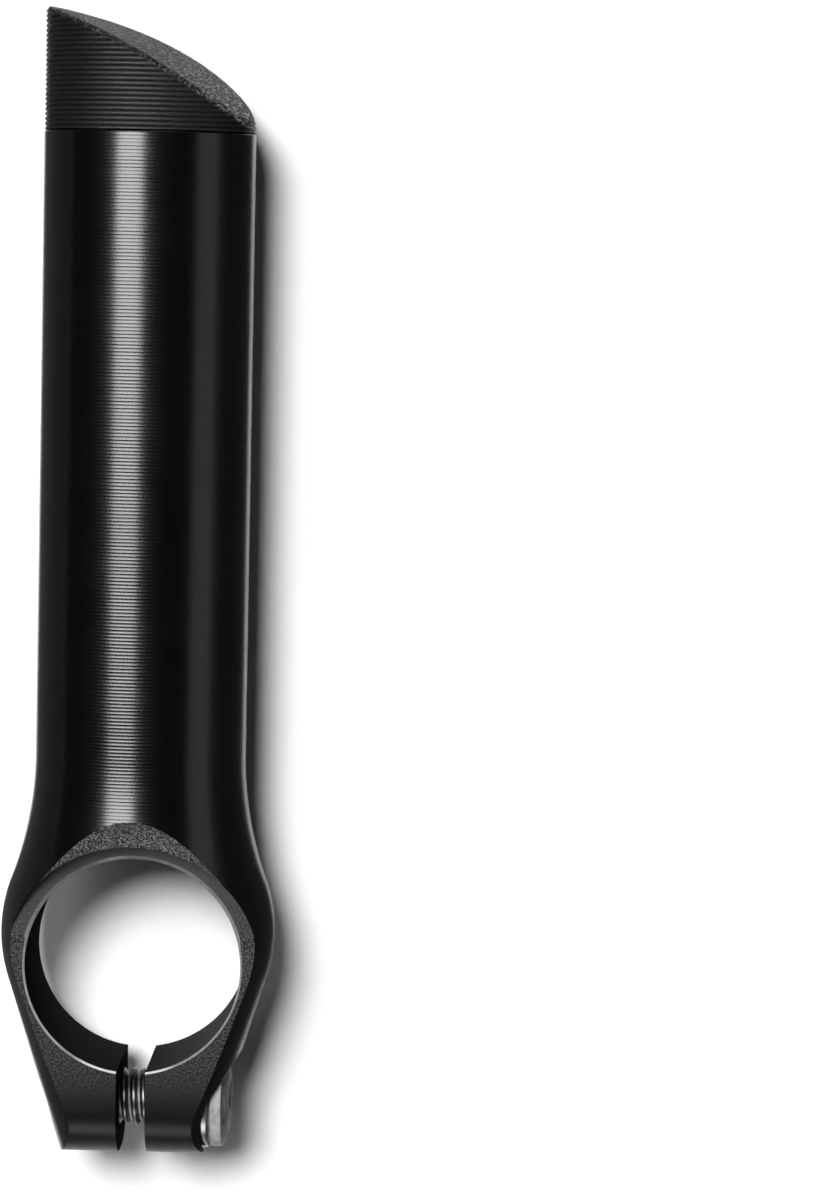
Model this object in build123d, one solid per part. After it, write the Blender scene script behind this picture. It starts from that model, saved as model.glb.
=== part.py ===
from build123d import *
from math import acos, cos, degrees, radians, sin, tan
import os

# Bicycle bar end, in millimetres. The origin is the centre of the clamp bore. X runs along the
# pinch bolt towards its head, Y runs up the tube, and Z is the axis of the clamp bore.

# Clamp eye
clamp_radius = 11.1         # for a handlebar of 22.2 mm
mouth_chamfer = 0.3
eye_wall = 3.13             # metal beside the bore, at the widest place
eye_half_width = 6.6        # from the middle to each forged flat
ring_rise = 0.2             # the machined ring lies this far outside the flats
ring_width = 1.85

# Turned outline
tube_radius = 10.9
tube_end = 85.6             # above the bore centre
tube_end_chamfer = 0.25
crest_height = 2.6          # the widest place, above the bore centre
shoulder_radius = 15.6
flare_radius = 38.0
cone_angle = 17.3           # half angle below the crest

# Forged recesses above the clamp, one on each face
recess_start = 2.66         # where the slope leaves the flat, above the bore centre
recess_angle = 19.85
recess_blend = 6.0

# Bore of the tube, drilled from its open end
tube_wall = 2.0
tube_floor = 14.5           # metal between the clamp bore and the end of the drilled bore
drill_point_angle = 59.0    # half angle

# Split ears
slot_width = 3.0
bolt_cover = 0.95           # between the clamp bore and the bolt
ear_rounding = 5.4          # round the bolt, seen along it
head_ear = 5.5              # metal between the slot and the washer

# Pinch bolt, a low button head with a hexagon socket
thread_radius = 2.95
thread_fit = 0.05           # radial, in the threaded ear
shank_clearance = 0.3       # radial, in the ear under the head
bolt_length = 16.0          # under the head
bolt_tip_chamfer = 0.6
head_radius = 4.92
head_height = 2.1
head_rim = 1.4              # the straight side of the head ends here
head_undercut = 0.3
head_face_radius = 3.0
head_bulge = 0.12
socket_width = 4.0          # across flats
socket_depth = 1.3

# Washer
washer_radius = 5.1
washer_thickness = 0.8
washer_clearance = 0.2      # radial, round the bolt
washer_edge = 0.12
seat_margin = 0.5           # radial, between the washer and its pocket

# End plug
plug_high_side = 12.8       # from the tube's end to the top of the slanted face
slant_start_angle = 13.4    # slope of the face at its high side
slant_radius = 47.7         # the face is a piece of a cylinder this large
plug_turn = 11.0            # the plug sits turned in the tube by this angle
plug_reveal = 0.05          # the plug is this much narrower than the tube, in radius
rim_inset = 0.16            # the rim of the slanted face stands back from the side
rim_height = 0.45
rim_chamfer = 0.3
stem_length = 12.0
stem_wall = 1.8
stem_fit = 0.05             # radial, in the tube's bore
stem_chamfer = 0.8

# Sizes that follow from those above
crest_radius = clamp_radius + eye_wall
bolt_drop = clamp_radius + bolt_cover + thread_radius
ear_end = bolt_drop + ear_rounding
washer_seat = slot_width / 2 + head_ear
head_seat = washer_seat + washer_thickness
tube_bore_radius = tube_radius - tube_wall
reach = 2 * crest_radius    # long enough for any tool to cut right through

bolt_plane = Plane(origin=(0, -bolt_drop, 0), x_dir=(0, 1, 0), z_dir=(1, 0, 0))
tube_plane = Plane(origin=(0, 0, 0), x_dir=(1, 0, 0), z_dir=(0, 1, 0))


def cylinder(plane, radius, start, end):
    """A cylinder on the plane's normal, between two places along it."""
    low, high = sorted((start, end))
    return plane * Pos(0, 0, (low + high) / 2) * Cylinder(radius, high - low)


def turned_form():
    """Tube, flare, crest and cone, turned about the tube's axis."""
    blend_radii = flare_radius + shoulder_radius
    swing = acos(1 - (crest_radius - tube_radius) / blend_radii)
    flare_top = crest_height + blend_radii * sin(swing)
    tube = Polyline(
        (0, tube_end),
        (tube_radius - tube_end_chamfer, tube_end),
        (tube_radius, tube_end - tube_end_chamfer),
        (tube_radius, flare_top),
    )
    flare = JernArc(tube @ 1, tube % 1, flare_radius, degrees(swing))
    shoulder = JernArc(flare @ 1, flare % 1, shoulder_radius, -degrees(swing) - cone_angle)
    cone_drop = (shoulder @ 1).Y + ear_end
    cone_foot = shoulder @ 1 + Vector(-cone_drop * tan(radians(cone_angle)), -cone_drop)
    cone = Polyline(shoulder @ 1, cone_foot, (0, -ear_end), (0, tube_end))
    return revolve(make_face([tube, flare, shoulder, cone]), Axis.Y)


def forged_form():
    """Side outline of the forging: rounded ears, flats and the slopes of the recesses."""
    slope_end = recess_start + (reach - eye_half_width) / tan(radians(recess_angle))
    edge = FilletPolyline(
        (-ear_end, 0),
        (-ear_end, eye_half_width),
        (recess_start, eye_half_width),
        (slope_end, reach),
        radius=[ear_rounding, recess_blend],
    )
    top = max(slope_end, tube_end) + reach
    rest = Polyline(edge @ 1, (top, reach), (top, 0), edge @ 0)
    half = extrude(Plane.YZ * make_face([edge, rest]), amount=reach, both=True)
    return half + mirror(half, Plane.XY)


def clamp_bore():
    """The hole for the handlebar, with a chamfer at each mouth that runs on to the ring's face."""
    mouth_radius = clamp_radius + mouth_chamfer + ring_rise
    profile = Polyline(
        (0, 0),
        (clamp_radius, 0),
        (clamp_radius, eye_half_width - mouth_chamfer),
        (mouth_radius, eye_half_width + ring_rise),
        (mouth_radius, reach),
        (0, reach),
        close=True,
    )
    half = revolve(Plane.XZ * make_face(profile), Axis.Z)
    return half + mirror(half, Plane.XY)


def tube_bore():
    """The drilled hole under the plug, with the cone that the drill's point leaves."""
    floor = clamp_radius + tube_floor
    point = floor - tube_bore_radius / tan(radians(drill_point_angle))
    profile = Polyline(
        (0, point), (tube_bore_radius, floor), (tube_bore_radius, tube_end), (0, tube_end), close=True
    )
    return revolve(make_face(profile), Axis.Y)


def bar_body():
    """The forging after it is turned, drilled, faced and split."""
    body = turned_form() & forged_form()
    ring_face = eye_half_width + ring_rise
    ring_radius = clamp_radius + ring_width
    for side in (1, -1):
        body -= cylinder(Plane.XY, ring_radius, side * ring_face, side * reach)
    body -= clamp_bore()
    body -= tube_bore()
    body -= Pos(0, -reach / 2, 0) * Box(slot_width, reach, 2 * reach)
    body -= cylinder(bolt_plane, thread_radius + shank_clearance, 0, reach)
    body -= cylinder(bolt_plane, thread_radius + thread_fit, 0, -reach)
    body -= cylinder(bolt_plane, washer_radius + seat_margin, washer_seat, reach)
    return body


def bolt_washer():
    """A plain washer in the pocket of the ear."""
    disc = cylinder(bolt_plane, washer_radius, washer_seat, head_seat)
    disc = chamfer(disc.edges().filter_by(GeomType.CIRCLE), washer_edge)
    return disc - cylinder(bolt_plane, thread_radius + washer_clearance, washer_seat, head_seat)


def pinch_bolt():
    """The bolt on the washer, with its tip in the threaded ear."""
    tip = head_seat - bolt_length
    side = Polyline(
        (tip, 0),
        (tip, thread_radius - bolt_tip_chamfer),
        (tip + bolt_tip_chamfer, thread_radius),
        (head_seat, thread_radius),
        (head_seat, head_radius - head_undercut),
        (head_seat + head_undercut, head_radius),
        (head_seat + head_rim, head_radius),
    )
    dome = SagittaArc(side @ 1, (head_seat + head_height, head_face_radius), -head_bulge)
    face = Polyline(dome @ 1, (head_seat + head_height, 0), side @ 0)
    bolt = Pos(0, -bolt_drop, 0) * revolve(make_face([side, dome, face]), Axis.X)
    mouth = bolt_plane.offset(head_seat + head_height)
    hexagon = mouth * RegularPolygon(socket_width / 2, 6, major_radius=False)
    return bolt - extrude(hexagon, -socket_depth)


def under_slant(drop):
    """The space under the plug's slanted face, lowered by a given amount."""
    high_edge = tube_radius - plug_reveal
    centre_x = -high_edge - slant_radius * sin(radians(slant_start_angle))
    centre_y = tube_end + plug_high_side - slant_radius * cos(radians(slant_start_angle))
    return Pos(centre_x, centre_y, 0) * Cylinder(slant_radius - drop, 2 * reach)


def end_plug():
    """The moulded plug: a head with a slanted face on the tube's end, and a hollow stem in its bore."""
    side_radius = tube_radius - plug_reveal
    top = tube_end + plug_high_side
    side = cylinder(tube_plane, side_radius, tube_end, top) & under_slant(rim_height)
    rim = cylinder(tube_plane, side_radius - rim_inset, tube_end, top) & under_slant(0)
    rim = chamfer(rim.edges().group_by(Axis.Y)[-1], rim_chamfer)
    stem_radius = tube_bore_radius - stem_fit
    stem_foot = tube_end - stem_length
    stem = cylinder(tube_plane, stem_radius, stem_foot, tube_end)
    stem = chamfer(stem.edges().group_by(Axis.Y)[0], stem_chamfer)
    stem -= cylinder(tube_plane, stem_radius - stem_wall, stem_foot, tube_end)
    return Rot(0, -plug_turn, 0) * (side + rim + stem)


os.makedirs("parts", exist_ok=True)
for make_piece in (bar_body, end_plug, pinch_bolt, bolt_washer):
    export_step(make_piece(), "parts/" + make_piece.__name__ + ".step")
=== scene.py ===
import random
from math import acos, cos, pi, radians, sin, sqrt, tan

import bmesh
import bpy
from mathutils import Matrix, Vector


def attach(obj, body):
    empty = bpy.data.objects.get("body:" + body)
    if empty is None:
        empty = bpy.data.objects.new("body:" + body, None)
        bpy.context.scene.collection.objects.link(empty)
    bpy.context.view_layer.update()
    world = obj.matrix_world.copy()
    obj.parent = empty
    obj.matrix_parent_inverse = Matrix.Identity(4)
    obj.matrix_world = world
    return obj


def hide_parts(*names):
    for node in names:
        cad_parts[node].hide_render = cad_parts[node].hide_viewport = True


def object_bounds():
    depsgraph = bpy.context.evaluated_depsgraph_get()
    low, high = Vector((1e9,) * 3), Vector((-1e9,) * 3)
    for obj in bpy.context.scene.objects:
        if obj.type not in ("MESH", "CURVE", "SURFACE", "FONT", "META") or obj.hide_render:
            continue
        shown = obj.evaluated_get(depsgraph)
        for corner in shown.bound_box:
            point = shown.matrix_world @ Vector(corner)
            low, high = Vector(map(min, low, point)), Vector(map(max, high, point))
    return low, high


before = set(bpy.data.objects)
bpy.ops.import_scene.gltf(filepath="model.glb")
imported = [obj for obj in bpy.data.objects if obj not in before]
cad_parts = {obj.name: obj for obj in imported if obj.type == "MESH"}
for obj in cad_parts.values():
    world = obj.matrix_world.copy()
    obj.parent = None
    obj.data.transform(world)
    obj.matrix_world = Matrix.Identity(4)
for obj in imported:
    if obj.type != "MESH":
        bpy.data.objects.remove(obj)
cad_low, cad_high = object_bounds()


# The table
# A plain white table top, large enough to fill every view. It touches the lowest place of the
# part, on its flare. The table isn't a piece of the part.
class Amount:
    """A number that changes over a surface. Sums on it add Math nodes to the material."""

    def __init__(self, finish, socket):
        self.finish = finish
        self.socket = socket

    def math(self, operation, first, second):
        return self.finish.node("ShaderNodeMath", {"operation": operation}, {0: first, 1: second})

    def __add__(self, other):
        return self.math("ADD", self, other)

    def __sub__(self, other):
        return self.math("SUBTRACT", self, other)

    def __rsub__(self, other):
        return self.math("SUBTRACT", other, self)

    def __mul__(self, other):
        return self.math("MULTIPLY", self, other)

    def __truediv__(self, other):
        return self.math("DIVIDE", self, other)

    __radd__ = __add__
    __rmul__ = __mul__


class Finish:
    """A procedural material: a Principled shader and the nodes that feed it."""

    def __init__(self, name, constants):
        self.material = bpy.data.materials.new(name)
        self.material.use_nodes = True
        self.nodes = self.material.node_tree.nodes
        self.links = self.material.node_tree.links
        self.shader = self.nodes["Principled BSDF"]
        for socket, value in constants.items():
            self.shader.inputs[socket].default_value = value

    def feed(self, socket, value):
        """Links an amount to a socket, or sets a plain value on it."""
        if isinstance(value, Amount):
            self.links.new(value.socket, socket)
        else:
            socket.default_value = value

    def node(self, kind, settings, sockets, output=0):
        """Adds a node of any type: its settings first, then the values or links of its sockets."""
        made = self.nodes.new(kind)
        for name, value in settings.items():
            if name == "stops":
                stops = made.color_ramp.elements
                for number, (place, grey) in enumerate(value):
                    stop = stops[number] if number < len(stops) else stops.new(place)
                    stop.position = place
                    stop.color = (grey, grey, grey, 1)
            else:
                setattr(made, name, value)
        for name, value in sockets.items():
            self.feed(made.inputs[name], value)
        return Amount(self, made.outputs[output])

    def where(self):
        """The place on the part, in its own frame."""
        return self.node("ShaderNodeTexCoord", {}, {}, "Object")

    def noise(self, grain, detail=2.0, roughness=0.5, stretch=(1, 1, 1)):
        """Noise from 0 to 1 whose patches are about as large as the grain, in metres."""
        place = self.node("ShaderNodeMapping", {}, {"Vector": self.where(), "Scale": stretch})
        sockets = {"Vector": place, "Scale": 1 / grain, "Detail": detail, "Roughness": roughness}
        return self.node("ShaderNodeTexNoise", {}, sockets)

    def ramp(self, value, stops):
        """An amount led over stops of (place, result), with straight lines between them."""
        return self.node("ShaderNodeValToRGB", {"stops": stops}, {"Fac": value})

    def between(self, share, dark, light):
        """A colour between two greys or colours."""
        sockets = {"Factor": share, 6: (*dark, 1), 7: (*light, 1)}
        return self.node("ShaderNodeMix", {"data_type": "RGBA"}, sockets, 2)

    def bump(self, height, depth):
        """A normal that follows a height from 0 to 1, which stands for a depth in metres."""
        sockets = {"Height": height, "Distance": depth, "Strength": 1.0}
        return self.node("ShaderNodeBump", {}, sockets)

    def varies(self, sockets):
        """Feeds the shader's sockets with what changes over the surface."""
        for name, value in sockets.items():
            self.feed(self.shader.inputs[name], value)


table_half = 6.0
table_white = 0.93
table_mottle = 0.01
mottle_grain = 0.03
matt = {"Roughness": 0.9, "Specular IOR Level": 0.0}

table_paint = Finish("table_white", matt)
mottles = table_paint.noise(mottle_grain)
pale, paler = (table_white - table_mottle,) * 3, (table_white,) * 3
table_paint.varies({"Base Color": table_paint.between(mottles, pale, paler)})

table_mesh = bmesh.new()
bmesh.ops.create_grid(table_mesh, x_segments=1, y_segments=1, size=table_half)
bmesh.ops.translate(table_mesh, verts=table_mesh.verts, vec=(0, 0, cad_low.z))


def object_from(mesh, name, finishes):
    """Turns a finished bmesh into an object with its materials."""
    data = bpy.data.meshes.new(name)
    mesh.to_mesh(data)
    mesh.free()
    for finish in finishes:
        data.materials.append(finish.material)
    made = bpy.data.objects.new(name, data)
    bpy.context.collection.objects.link(made)
    return made


table = object_from(table_mesh, "table", [table_paint])

# The cards
# Grey cards beside the part, seen only in its gloss, as a photographer sets them up round a
# shiny black thing. They keep the white table beyond the frame out of the tube's sides.
card_lift = 0.0002
card_reach = 1.5
left_card_edge = -0.0165
left_card_grey = 0.11
right_card_edge = 0.017
right_card_grey = 0.05


def card(name, near, far, grey):
    """A card that lies on the table from one X to another."""
    paper = Finish(name, {**matt, "Base Color": (grey, grey, grey, 1)})
    mesh = bmesh.new()
    bmesh.ops.create_grid(mesh, x_segments=1, y_segments=1, size=1)
    bmesh.ops.scale(mesh, verts=mesh.verts, vec=((far - near) / 2, card_reach, 1))
    middle = ((near + far) / 2, 0, cad_low.z + card_lift)
    bmesh.ops.translate(mesh, verts=mesh.verts, vec=middle)
    made = object_from(mesh, name, [paper])
    made.visible_camera = False
    made.visible_diffuse = False
    made.visible_shadow = False
    made.visible_transmission = False


card("left_card", -card_reach, left_card_edge, left_card_grey)
card("right_card", right_card_edge, card_reach, right_card_grey)

# The light
# A soft key, almost overhead, casts the soft shadow, and a weak fill reaches in from the left. Four
# soft boxes show only as gloss: on both sides of the tube, beyond the plug and beyond the ears.
part_middle = Vector((0, (cad_low.y + cad_high.y) / 2, 0))


def toward(left, up):
    """A direction that leans from straight overhead to the left and up the photo, in degrees."""
    return Vector((-tan(radians(left)), tan(radians(up)), 1)).normalized()


def aim(lamp, place):
    """Puts a lamp in its place and turns it to the part, with its length along the tube."""
    back = (place - part_middle).normalized()
    across = Vector((0, 1, 0)).cross(back).normalized()
    lamp.location = place
    lamp.rotation_euler = Matrix((across, back.cross(across), back)).transposed().to_euler()


def soft_light(name, left, up, energy, spread):
    """A light in a direction, with its angular size in degrees. It draws no gloss."""
    light = bpy.data.lights.new(name, "SUN")
    light.energy = energy
    light.angle = radians(spread)
    lamp = bpy.data.objects.new(name, light)
    bpy.context.collection.objects.link(lamp)
    aim(lamp, part_middle + toward(left, up))
    lamp.visible_glossy = False


soft_light("key", left=10.5, up=21.5, energy=3.62, spread=19)
soft_light("fill", left=62, up=5, energy=0.8, spread=50)

box_distance = 1.0
surround_grey = (0.03, 0.03, 0.031, 1)


def strip_box(name, left, up, width, length, radiance):
    """A soft box in a direction, with its angular size in degrees. It shows only as gloss."""
    light = bpy.data.lights.new(name, "AREA")
    light.shape = "RECTANGLE"
    light.size = 2 * box_distance * tan(radians(width / 2))
    light.size_y = 2 * box_distance * tan(radians(length / 2))
    light.energy = radiance * pi * light.size * light.size_y
    box = bpy.data.objects.new(name, light)
    bpy.context.collection.objects.link(box)
    aim(box, part_middle + toward(left, up) * box_distance)
    box.visible_diffuse = False
    box.visible_camera = False


strip_box("strip_left", left=16.8, up=12.5, width=28, length=33, radiance=15.0)
strip_box("strip_right", left=-71, up=0, width=27, length=90, radiance=0.65)
strip_box("strip_end", left=0, up=78, width=60, length=20, radiance=2.4)
strip_box("strip_foot", left=0, up=-61, width=60, length=22, radiance=5.0)

bpy.context.scene.world = bpy.data.worlds.new("studio")
bpy.context.scene.world.use_nodes = True
surround = bpy.context.scene.world.node_tree.nodes["Background"]
surround.inputs["Color"].default_value = surround_grey
bpy.context.scene.view_settings.view_transform = "Standard"

# The camera
# It looks almost straight down from 40 cm above the table, over the right of the part's upper
# half. The frame is shifted down, so that it takes in the clamp as well.
camera_lens = bpy.data.cameras.new("camera")
camera_lens.lens = 112.67
camera_lens.shift_y = -0.12
camera = bpy.data.objects.new("camera", camera_lens)
camera.location = (0.035179, 0.076455, 0.387528)
camera.rotation_euler = (radians(-3.486), radians(1.096), radians(1.143))
bpy.context.collection.objects.link(camera)
bpy.context.scene.camera = camera

# The bar
# One aluminium forging: tube, flare, clamp eye and two ears. It is turned with a fine feed that
# leaves rings round it, its forged flats are grit-blasted, and all of it is anodised black.
clamp_radius = 0.0111
mouth_chamfer = 0.0002
eye_half_width = 0.0066
ring_rise = 0.0002
ring_width = 0.00185
tube_radius = 0.0109
tube_end = 0.0856
tube_end_chamfer = 0.00025
crest_radius = cad_high.x
crest_height = 0.0026
shoulder_radius = 0.0156
flare_radius = 0.038
cone_angle = radians(17.3)
recess_start = 0.00266
recess_angle = radians(19.85)
recess_blend = 0.006
tube_bore_radius = 0.0089
tube_floor = 0.0256
drill_point_angle = radians(59)
slot_width = 0.003
bolt_drop = 0.015
ear_rounding = 0.0054
ear_end = bolt_drop + ear_rounding
washer_seat = 0.007
tapped_radius = 0.003
clearance_radius = 0.00325
pocket_radius = 0.0056
feed = 0.000355
groove_depth = 0.000024
faint_groove = 0.000012
least_groove = 0.75
around = 96
arc_steps = 24
blasted_end = 0.0165
ring_seed = 7
reach = 0.04

swing = acos(1 - (crest_radius - tube_radius) / (flare_radius + shoulder_radius))
flare_top = crest_height + (flare_radius + shoulder_radius) * sin(swing)
flare_foot = flare_top - flare_radius * sin(swing)
cone_top = crest_height - shoulder_radius * sin(cone_angle)


def turned_radius(y):
    """The radius of the turned outline at a height above the bore's centre."""
    if y >= flare_top:
        return tube_radius
    if y >= flare_foot:
        return tube_radius + flare_radius - sqrt(flare_radius**2 - (flare_top - y) ** 2)
    shoulder_centre = crest_radius - shoulder_radius
    if y >= cone_top:
        return shoulder_centre + sqrt(shoulder_radius**2 - (y - crest_height) ** 2)
    return shoulder_centre + shoulder_radius * cos(cone_angle) - (cone_top - y) * tan(cone_angle)


def lathe(profile, axis, steps=around, ring=False):
    """A closed form turned from points of (place along the axis, radius). A ring's points close."""
    mesh = bmesh.new()
    axis = Vector(axis)
    outward = Vector((axis.z, axis.x, axis.y))
    points = [mesh.verts.new(axis * along + outward * radius) for along, radius in profile]
    line = [mesh.edges.new(pair) for pair in zip(points, points[1:])]
    if ring:
        line.append(mesh.edges.new((points[-1], points[0])))
    turn = {"cent": (0, 0, 0), "axis": axis, "angle": 2 * pi, "steps": steps, "use_merge": True}
    bmesh.ops.spin(mesh, geom=points + line, **turn)
    bmesh.ops.remove_doubles(mesh, verts=mesh.verts, dist=1e-7)
    bmesh.ops.recalc_face_normals(mesh, faces=mesh.faces)
    return mesh


def rounded(corner, before, after, radius, steps=arc_steps):
    """Points of the arc that rounds a corner between the points before and after it."""
    corner, before, after = Vector(corner), Vector(before), Vector(after)
    arriving, leaving = (before - corner).normalized(), (after - corner).normalized()
    half = arriving.angle(leaving) / 2
    middle = corner + (arriving + leaving).normalized() * radius / sin(half)
    start = corner + arriving * radius / tan(half) - middle
    end = corner + leaving * radius / tan(half) - middle
    sweep = -start.angle_signed(end)
    return [middle + Matrix.Rotation(sweep * step / steps, 2) @ start for step in range(steps + 1)]


def slab(outline, plane_x, plane_y, thickness):
    """A closed slab: a flat outline pushed both ways along the third axis."""
    mesh = bmesh.new()
    plane_x, plane_y = Vector(plane_x), Vector(plane_y)
    push = plane_x.cross(plane_y) * thickness
    corners = [mesh.verts.new(plane_x * p[0] + plane_y * p[1] - push / 2) for p in outline]
    face = mesh.faces.new(corners)
    pushed = bmesh.ops.extrude_face_region(mesh, geom=[face])["geom"]
    moved = [made for made in pushed if isinstance(made, bmesh.types.BMVert)]
    bmesh.ops.translate(mesh, verts=moved, vec=push)
    bmesh.ops.recalc_face_normals(mesh, faces=mesh.faces)
    return mesh


def carve(piece, tool, operation="DIFFERENCE"):
    """Cuts a piece with a closed tool, or joins them. The tool's faces keep its finish."""
    cut = piece.modifiers.new("cut", "BOOLEAN")
    cut.object = tool
    cut.operation = operation
    cut.solver = "MANIFOLD"
    cut.material_mode = "TRANSFER"
    graph = bpy.context.evaluated_depsgraph_get()
    data = bpy.data.meshes.new_from_object(piece.evaluated_get(graph), depsgraph=graph)
    piece.modifiers.remove(cut)
    piece.data = data
    bpy.data.objects.remove(tool)


gloss = Finish("anodised_gloss", {"IOR": 1.5})
smears = gloss.noise(0.006, 3.0)
streaks = gloss.noise(0.0006, 3.0, 0.6, (0.1, 1, 0.1))
gloss.varies({
    "Base Color": gloss.between(smears, (0.0005, 0.0005, 0.0005), (0.001, 0.001, 0.001)),
    "Roughness": 0.17 + smears * 0.05 + streaks * 0.05,
    "Normal": gloss.bump(streaks, 0.000006),
})

blasted = Finish("anodised_blasted", {"IOR": 1.5, "Specular IOR Level": 0.12})
grit = blasted.noise(0.0002, 3.0, 0.65)
specks = blasted.ramp(grit, [(0.44, 0.0), (0.68, 1.0)])
up_the_flat = blasted.node("ShaderNodeSeparateXYZ", {}, {"Vector": blasted.where()}, "Y")
from_ears = (up_the_flat + ear_end) / (ear_end + blasted_end)
# Specks fade out toward the ears, where the blasting ends; their rise to a peak above the ring is
# painted sheen.
painted_sheen_stops = [(0.17, 0.0), (0.27, 0.27), (0.84, 0.6), (0.93, 1.0), (0.96, 0.6), (1.0, 0.2)]
grit_fade_and_painted_sheen = blasted.ramp(from_ears, painted_sheen_stops)
coarse = blasted.ramp(from_ears, [(0.14, 0.0), (0.25, 1.0)])
blasted.varies({
    "Base Color": blasted.between(specks * grit_fade_and_painted_sheen, (0.006, 0.006, 0.0061), (0.26, 0.26, 0.264)),
    "Roughness": 0.32 + coarse * (0.18 - specks * 0.15),
    "Normal": blasted.bump(grit * coarse, 0.00008),
})

satin = Finish("anodised_satin", {"IOR": 1.5, "Specular IOR Level": 0.2})
haze = satin.noise(0.0009, 3.0)
satin.varies({
    "Base Color": satin.between(haze, (0.003, 0.003, 0.0031), (0.006, 0.006, 0.0061)),
    "Roughness": 0.36 + haze * 0.10,
    "Normal": satin.bump(satin.noise(0.00012), 0.000004),
})

bored = Finish("bored_wall", {"IOR": 1.5, "Specular IOR Level": 0.0})
chatter = bored.noise(0.0016, 3.0)
over_bore = bored.node("ShaderNodeSeparateXYZ", {}, {"Vector": bored.where()}, "X")
# The wall's base colour is painted lighter toward the bore's +X side, a painted sheen; chatter
# varies it.
painted_shine_side = bored.ramp(over_bore / clamp_radius, [(0.0, 0.0), (0.9, 1.0)])
painted_wall_shine = painted_shine_side * (0.8 + chatter * 0.4)
bored.varies({
    "Base Color": bored.between(painted_wall_shine, (0.022, 0.022, 0.0222), (0.07, 0.07, 0.0705)),
    "Roughness": 0.42 + chatter * 0.10,
})

faced = Finish("faced_ring", {"IOR": 1.5, "Specular IOR Level": 0.2})
scuffs = faced.noise(0.0012, 4.0)
up_the_ring = faced.node("ShaderNodeSeparateXYZ", {}, {"Vector": faced.where()}, "Y")
# The ring is painted lighter toward the bore's top, a painted sheen; lower down it keeps the flats'
# grit.
painted_sheen_up_ring = faced.ramp(up_the_ring / clamp_radius, [(0.25, 0.0), (0.80, 1.0)])
last_grit = faced.ramp(faced.noise(0.0002, 3.0, 0.65), [(0.44, 0.0), (0.68, 1.0)])
ring_tone_and_painted_sheen = painted_sheen_up_ring * (0.17 + scuffs * 0.3) + (1 - painted_sheen_up_ring) * last_grit
faced.varies({
    "Base Color": faced.between(ring_tone_and_painted_sheen, (0.004, 0.004, 0.0041), (0.09, 0.09, 0.0915)),
    "Roughness": 0.38 + scuffs * 0.10,
    "Normal": faced.bump(faced.noise(0.00015), 0.000004),
})

# The chamfers are worn to light metal, and their base is raised further into a painted highlight
# line.
worn_and_painted_glint = Finish("worn_edge_painted_glint", {"IOR": 1.5, "Metallic": 0.5})
rub = worn_and_painted_glint.noise(0.0008, 3.0)
worn_and_painted_glint.varies({
    "Base Color": worn_and_painted_glint.between(rub, (0.26, 0.26, 0.262), (0.64, 0.64, 0.643)),
    "Roughness": 0.14 + rub * 0.1,
})

# The turned outline with the rings that the tool leaves, and the drilled bore under the plug.
straight_end = tube_end - tube_end_chamfer
half_feeds = 2 * int((straight_end + ear_end) / feed)
chance = random.Random(ring_seed)
outline = [(-ear_end, 0)]
for count in range(half_feeds + 1):
    y = -ear_end + count * (straight_end + ear_end) / half_feeds
    groove = groove_depth if y > flare_foot else faint_groove
    groove *= chance.uniform(least_groove, 2 - least_groove)
    outline.append((y, turned_radius(y) - groove * (count % 2)))
outline += [
    (tube_end, tube_radius - tube_end_chamfer),
    (tube_end, tube_bore_radius),
    (tube_floor, tube_bore_radius),
    (tube_floor - tube_bore_radius / tan(drill_point_angle), 0),
]
bar = object_from(lathe(outline, (0, 1, 0)), "forged_bar", [gloss])


def tool_from(mesh, finish):
    """A cutting tool whose faces all leave one finish."""
    return object_from(mesh, "tool", [finish])


# The forging's side outline: round ears, flats and the slopes above the clamp.
slope_end = recess_start + (reach - eye_half_width) / tan(recess_angle)
ear_corner, slope_corner = (-ear_end, eye_half_width), (recess_start, eye_half_width)
upper = rounded(ear_corner, (-ear_end, 0), slope_corner, ear_rounding)
upper += rounded(slope_corner, ear_corner, (slope_end, reach), recess_blend)
upper.append(Vector((slope_end, reach)))
side_outline = upper + [Vector((y, -z)) for y, z in reversed(upper)]
forging = slab(side_outline, (0, 1, 0), (0, 0, 1), reach)
carve(bar, tool_from(forging, blasted), "INTERSECT")

# The machined rings, the clamp bore with its chamfers, the slot and the bolt's holes.
ring_face = eye_half_width + ring_rise
for side in (1, -1):
    spot_face = [
        (side * ring_face, 0),
        (side * ring_face, clamp_radius + ring_width),
        (side * reach, clamp_radius + ring_width),
        (side * reach, 0),
    ]
    carve(bar, tool_from(lathe(spot_face, (0, 0, 1)), faced))

mouth_radius = clamp_radius + mouth_chamfer + ring_rise
mouth = [
    (eye_half_width - mouth_chamfer, clamp_radius),
    (ring_face, mouth_radius),
    (reach, mouth_radius),
]
far_mouth = [(-along, radius) for along, radius in mouth]
clamp_bore = lathe([(reach, 0)] + mouth[::-1] + far_mouth + [(-reach, 0)], (0, 0, 1), 2 * around)
# The slanted faces, the mouth chamfers, take the worn edge with its painted highlight line.
for face in clamp_bore.faces:
    slanted = 0.1 < abs(face.normal.z) < 0.9
    face.material_index = int(slanted)
carve(bar, object_from(clamp_bore, "tool", [bored, worn_and_painted_glint]))

half_slot = slot_width / 2
slot_outline = [(-half_slot, 0), (half_slot, 0), (half_slot, -reach), (-half_slot, -reach)]
carve(bar, tool_from(slab(slot_outline, (1, 0, 0), (0, 1, 0), 2 * reach), bored))


def drill(start, end, radius, finish):
    """Drills along the bolt's axis, from one X to another."""
    bit = lathe([(start, 0), (start, radius), (end, radius), (end, 0)], (1, 0, 0))
    bmesh.ops.translate(bit, verts=bit.verts, vec=(0, -bolt_drop, 0))
    carve(bar, tool_from(bit, finish))


drill(0, reach, clearance_radius, satin)
drill(-reach, 0, tapped_radius, satin)
drill(washer_seat, reach, pocket_radius, satin)


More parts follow.
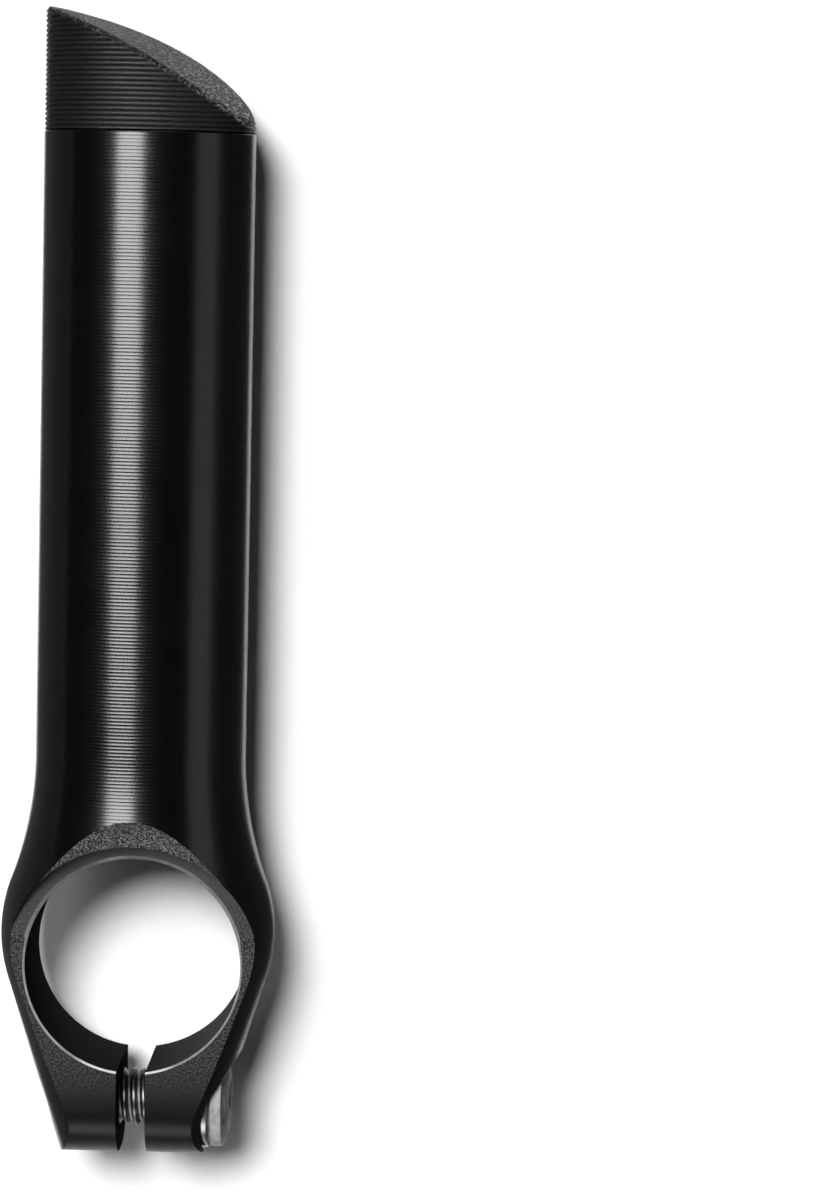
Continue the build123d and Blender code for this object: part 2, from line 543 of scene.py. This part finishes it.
def shade(piece, crease=radians(30), cusp=radians(4)):
    """Smooth faces with sharp creases. Fine rings get sharp crests and soft valleys."""
    mesh = bmesh.new()
    mesh.from_mesh(piece.data)
    for face in mesh.faces:
        face.smooth = True
    for edge in mesh.edges:
        edge.smooth = edge.calc_face_angle(pi) < (cusp if edge.is_convex else crease)
    mesh.to_mesh(piece.data)
    mesh.free()


shade(bar)
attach(bar, "bar")
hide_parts("bar_body")

# The end plug
# A moulded plug of black plastic, pushed into the tube's open end by its hollow stem. Fine ridges
# run round its side, and its slanted face has a rounded rim of its own and a grained skin.
plug_high_side = 0.0128
slant_start_angle = radians(13.4)
slant_radius = 0.0477
plug_turn = radians(11)
plug_reveal = 0.00005
rim_inset = 0.00016
rim_height = 0.00045
rim_rounding = 0.0004
rim_steps = 6
rim_rings = 24
ridge_pitch = 0.0005
ridge_depth = 0.00016
ridge_land = 0.00016
stem_length = 0.012
stem_wall = 0.0018
stem_fit = 0.00005
stem_chamfer = 0.0008

moulded = Finish("moulded_plastic", {"IOR": 1.45})
grain = moulded.noise(0.0002, 3.0, 0.65)
dust = moulded.ramp(grain, [(0.50, 0.0), (0.72, 1.0)])
moulded.varies({
    "Base Color": moulded.between(dust, (0.002, 0.002, 0.0021), (0.014, 0.014, 0.014)),
    "Roughness": 0.42 - dust * 0.15,
    "Normal": moulded.bump(grain, 0.00008),
})

grained = Finish("grained_plastic", {"IOR": 1.45, "Specular IOR Level": 0.15})
pebbles = grained.noise(0.0003, 2.0, 0.6, (1, 1, 0.3))
grain_tops_and_painted_gleam = grained.ramp(pebbles, [(0.48, 0.0), (0.68, 1.0)])
# The grain's tops are painted light grey, a painted gleam, brightest toward the face's low end
# (+X).
over_face = grained.node("ShaderNodeSeparateXYZ", {}, {"Vector": grained.where()}, "X")
painted_light_low_end = grained.ramp(over_face / tube_radius, [(0.0, 0.2), (0.9, 1.0)])
grained.varies({
    "Base Color": grained.between(grain_tops_and_painted_gleam * painted_light_low_end, (0.008, 0.008, 0.0081), (0.30, 0.30, 0.303)),
    "Roughness": 0.6 - grain_tops_and_painted_gleam * 0.2,
    "Normal": grained.bump(pebbles, 0.0002),
})

side_radius = tube_radius - plug_reveal
plug_top = tube_end + plug_high_side
stem_radius = tube_bore_radius - stem_fit
stem_foot = tube_end - stem_length
rim_radius = side_radius - rim_inset
slant_x = -side_radius - slant_radius * sin(slant_start_angle)
slant_y = plug_top - slant_radius * cos(slant_start_angle)

plug_outline = [
    (tube_end, 0),
    (tube_end, stem_radius - stem_wall),
    (stem_foot, stem_radius - stem_wall),
    (stem_foot, stem_radius - stem_chamfer),
    (stem_foot + stem_chamfer, stem_radius),
    (tube_end, stem_radius),
    (tube_end, side_radius),
]
for ridge in range(int(plug_high_side / ridge_pitch)):
    foot = tube_end + ridge * ridge_pitch
    plug_outline += [
        (foot + ridge_land, side_radius),
        (foot + (ridge_land + ridge_pitch) / 2, side_radius - ridge_depth),
        (foot + ridge_pitch, side_radius),
    ]
plug_outline += [(plug_top + ridge_pitch, side_radius), (plug_top + ridge_pitch, 0)]
plug = object_from(lathe(plug_outline, (0, 1, 0)), "end_plug_model", [moulded])

slant_edge = slant_radius - rim_height
slant_outline = [(-reach, 0), (-reach, slant_edge), (reach, slant_edge), (reach, 0)]
slant = lathe(slant_outline, (0, 0, 1), 4 * around)
bmesh.ops.translate(slant, verts=slant.verts, vec=(slant_x, slant_y, 0))
carve(plug, tool_from(slant, moulded), "INTERSECT")

# The rim and the slanted face: rings of points, each moved up or down to the slanted cylinder.
rim_outline = [(tube_end + ridge_pitch, 0), (tube_end + ridge_pitch, rim_radius)]
for step in range(rim_steps + 1):
    angle = step / rim_steps * pi / 2
    drop = rim_rounding * (1 - sin(angle))
    rim_outline.append((plug_top - drop, rim_radius - rim_rounding * (1 - cos(angle))))
for step in range(1, rim_rings + 1):
    rim_outline.append((plug_top, (rim_radius - rim_rounding) * (1 - step / rim_rings)))
rim = lathe(rim_outline, (0, 1, 0))
for point in rim.verts:
    if point.co.y > plug_top - 2 * rim_rounding:
        height = slant_y + sqrt(slant_radius**2 - (point.co.x - slant_x) ** 2)
        point.co.y += height - plug_top
bmesh.ops.recalc_face_normals(rim, faces=rim.faces)
carve(plug, tool_from(rim, grained), "UNION")
plug.data.transform(Matrix.Rotation(-plug_turn, 4, "Y"))
shade(plug, cusp=radians(30))
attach(plug, "bar")
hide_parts("end_plug")

# The washer
# A thin plain washer of plated steel, punched from sheet and tumbled, which rounds its rim. It lies
# in the pocket of the ear, under the bolt's head.
washer_radius = 0.0051
washer_thickness = 0.0008
washer_bore = 0.00315
washer_rounding = 0.00022
washer_steps = 6
head_seat = washer_seat + washer_thickness

plated_washer = Finish("plated_washer", {"Metallic": 1.0})
scratches = plated_washer.noise(0.0006, 4.0)
plated_washer.varies({
    "Base Color": plated_washer.between(scratches, (0.17, 0.17, 0.168), (0.27, 0.27, 0.267)),
    "Roughness": 0.22 + scratches * 0.14,
})


def on_bolt(mesh):
    """Moves a form from the X axis to the bolt's axis."""
    bmesh.ops.translate(mesh, verts=mesh.verts, vec=(0, -bolt_drop, 0))
    return mesh


inner = [(head_seat, washer_bore), (washer_seat, washer_bore)]
outer = [(washer_seat, washer_radius), (head_seat, washer_radius)]
washer_outline = inner + rounded(outer[0], inner[1], outer[1], washer_rounding, washer_steps)
washer_outline += rounded(outer[1], outer[0], inner[0], washer_rounding, washer_steps)
washer_mesh = on_bolt(lathe(washer_outline, (1, 0, 0), ring=True))
washer = object_from(washer_mesh, "washer_model", [plated_washer])
shade(washer, cusp=radians(30))
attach(washer, "washer")
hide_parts("bolt_washer")

# The pinch bolt
# A low button-head bolt of plated steel with a rolled thread and a hexagon socket. It runs through
# the near ear into the thread of the far one, and draws the slot closed.
thread_radius = 0.00295
thread_core = 0.00246
thread_pitch = 0.001
thread_flat = 0.00008
thread_sink = 0.00006
turn_steps = 36
bolt_length = 0.016
bolt_tip_chamfer = 0.0006
head_radius = 0.00492
head_height = 0.0021
head_rim = 0.0014
head_undercut = 0.0003
head_face_radius = 0.003
head_bulge = 0.00012
socket_width = 0.004
socket_depth = 0.0013
socket_point = 0.0005
pit_share = 0.8
socket_mouth = 0.00012
bolt_tip = head_seat - bolt_length
head_top = head_seat + head_height

plated = Finish("plated_steel", {"Metallic": 1.0})
drawn_out = plated.noise(0.0010, 4.0, 0.6, (1, 0.4, 1))
cloud = plated.ramp(drawn_out, [(0.36, 0.0), (0.64, 1.0)])
pits = plated.noise(0.0002, 3.0, 0.6)
plated.varies({
    "Base Color": plated.between(cloud, (0.16, 0.16, 0.158), (0.38, 0.38, 0.376)),
    "Roughness": 0.56 + cloud * 0.14,
    "Normal": plated.bump(pits, 0.000006),
})

rolled = Finish("rolled_thread", {"Metallic": 1.0})
oil = rolled.noise(0.0008, 4.0)
rolled.varies({
    "Base Color": rolled.between(oil, (0.09, 0.09, 0.089), (0.18, 0.18, 0.178)),
    "Roughness": 0.28 + oil * 0.14,
})

dome_start = Vector((head_seat + head_rim, head_radius))
dome_end = Vector((head_top, head_face_radius))
dome_out = Vector((dome_start.y - dome_end.y, dome_end.x - dome_start.x)).normalized()
dome_steps = 10
bolt_outline = [
    (bolt_tip, 0),
    (bolt_tip, thread_core - bolt_tip_chamfer / 2),
    (bolt_tip + bolt_tip_chamfer / 2, thread_core),
    (head_seat, thread_core),
    (head_seat, head_radius - head_undercut),
    (head_seat + head_undercut, head_radius),
]
for step in range(dome_steps + 1):
    share = step / dome_steps
    place = dome_start.lerp(dome_end, share) + dome_out * head_bulge * 4 * share * (1 - share)
    bolt_outline.append(tuple(place))
bolt_outline.append((head_top, 0))
bolt_mesh = on_bolt(lathe(bolt_outline, (1, 0, 0), around // 2))
bolt = object_from(bolt_mesh, "bolt_model", [plated])

helix = bmesh.new()
half_foot = 0.45 * thread_pitch
thread_start = bolt_tip + thread_pitch
thread_turns = int((head_seat - thread_start) / thread_pitch)
corners = [
    (thread_start - half_foot, thread_core - thread_sink),
    (thread_start - thread_flat, thread_radius),
    (thread_start + thread_flat, thread_radius),
    (thread_start + half_foot, thread_core - thread_sink),
]
section = helix.faces.new([helix.verts.new((x, radius, 0)) for x, radius in corners])
swept = list(helix.verts) + list(helix.edges) + [section]
climb = {"axis": (1, 0, 0), "dvec": (thread_pitch / turn_steps, 0, 0), "cent": (0, 0, 0)}
turns = {"angle": 2 * pi * thread_turns, "steps": turn_steps * thread_turns}
bmesh.ops.spin(helix, geom=swept, **turns, **climb)
bmesh.ops.recalc_face_normals(helix, faces=helix.faces)
carve(bolt, tool_from(on_bolt(helix), rolled), "UNION")

socket = bmesh.new()
socket_radius = socket_width / sqrt(3)
prism = {"cap_ends": True, "segments": 6, "radius1": socket_radius, "radius2": socket_radius}
bmesh.ops.create_cone(socket, depth=2 * socket_depth, **prism)
bmesh.ops.rotate(socket, verts=socket.verts, matrix=Matrix.Rotation(pi / 2, 3, "Y"))
bmesh.ops.translate(socket, verts=socket.verts, vec=(head_top, 0, 0))
carve(bolt, tool_from(on_bolt(socket), plated))

socket_floor = head_top - socket_depth
countersink = socket_radius + socket_mouth
pit = [(socket_floor - socket_point, 0), (socket_floor, pit_share * socket_radius), (head_top, 0)]
carve(bolt, tool_from(on_bolt(lathe(pit, (1, 0, 0), around // 2)), plated))
above = head_top + socket_depth
funnel = [
    (head_top - countersink / 2, 0),
    (head_top, countersink),
    (above, countersink),
    (above, 0),
]
carve(bolt, tool_from(on_bolt(lathe(funnel, (1, 0, 0), around // 2)), plated))
shade(bolt, cusp=radians(30))
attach(bolt, "bolt")
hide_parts("pinch_bolt")
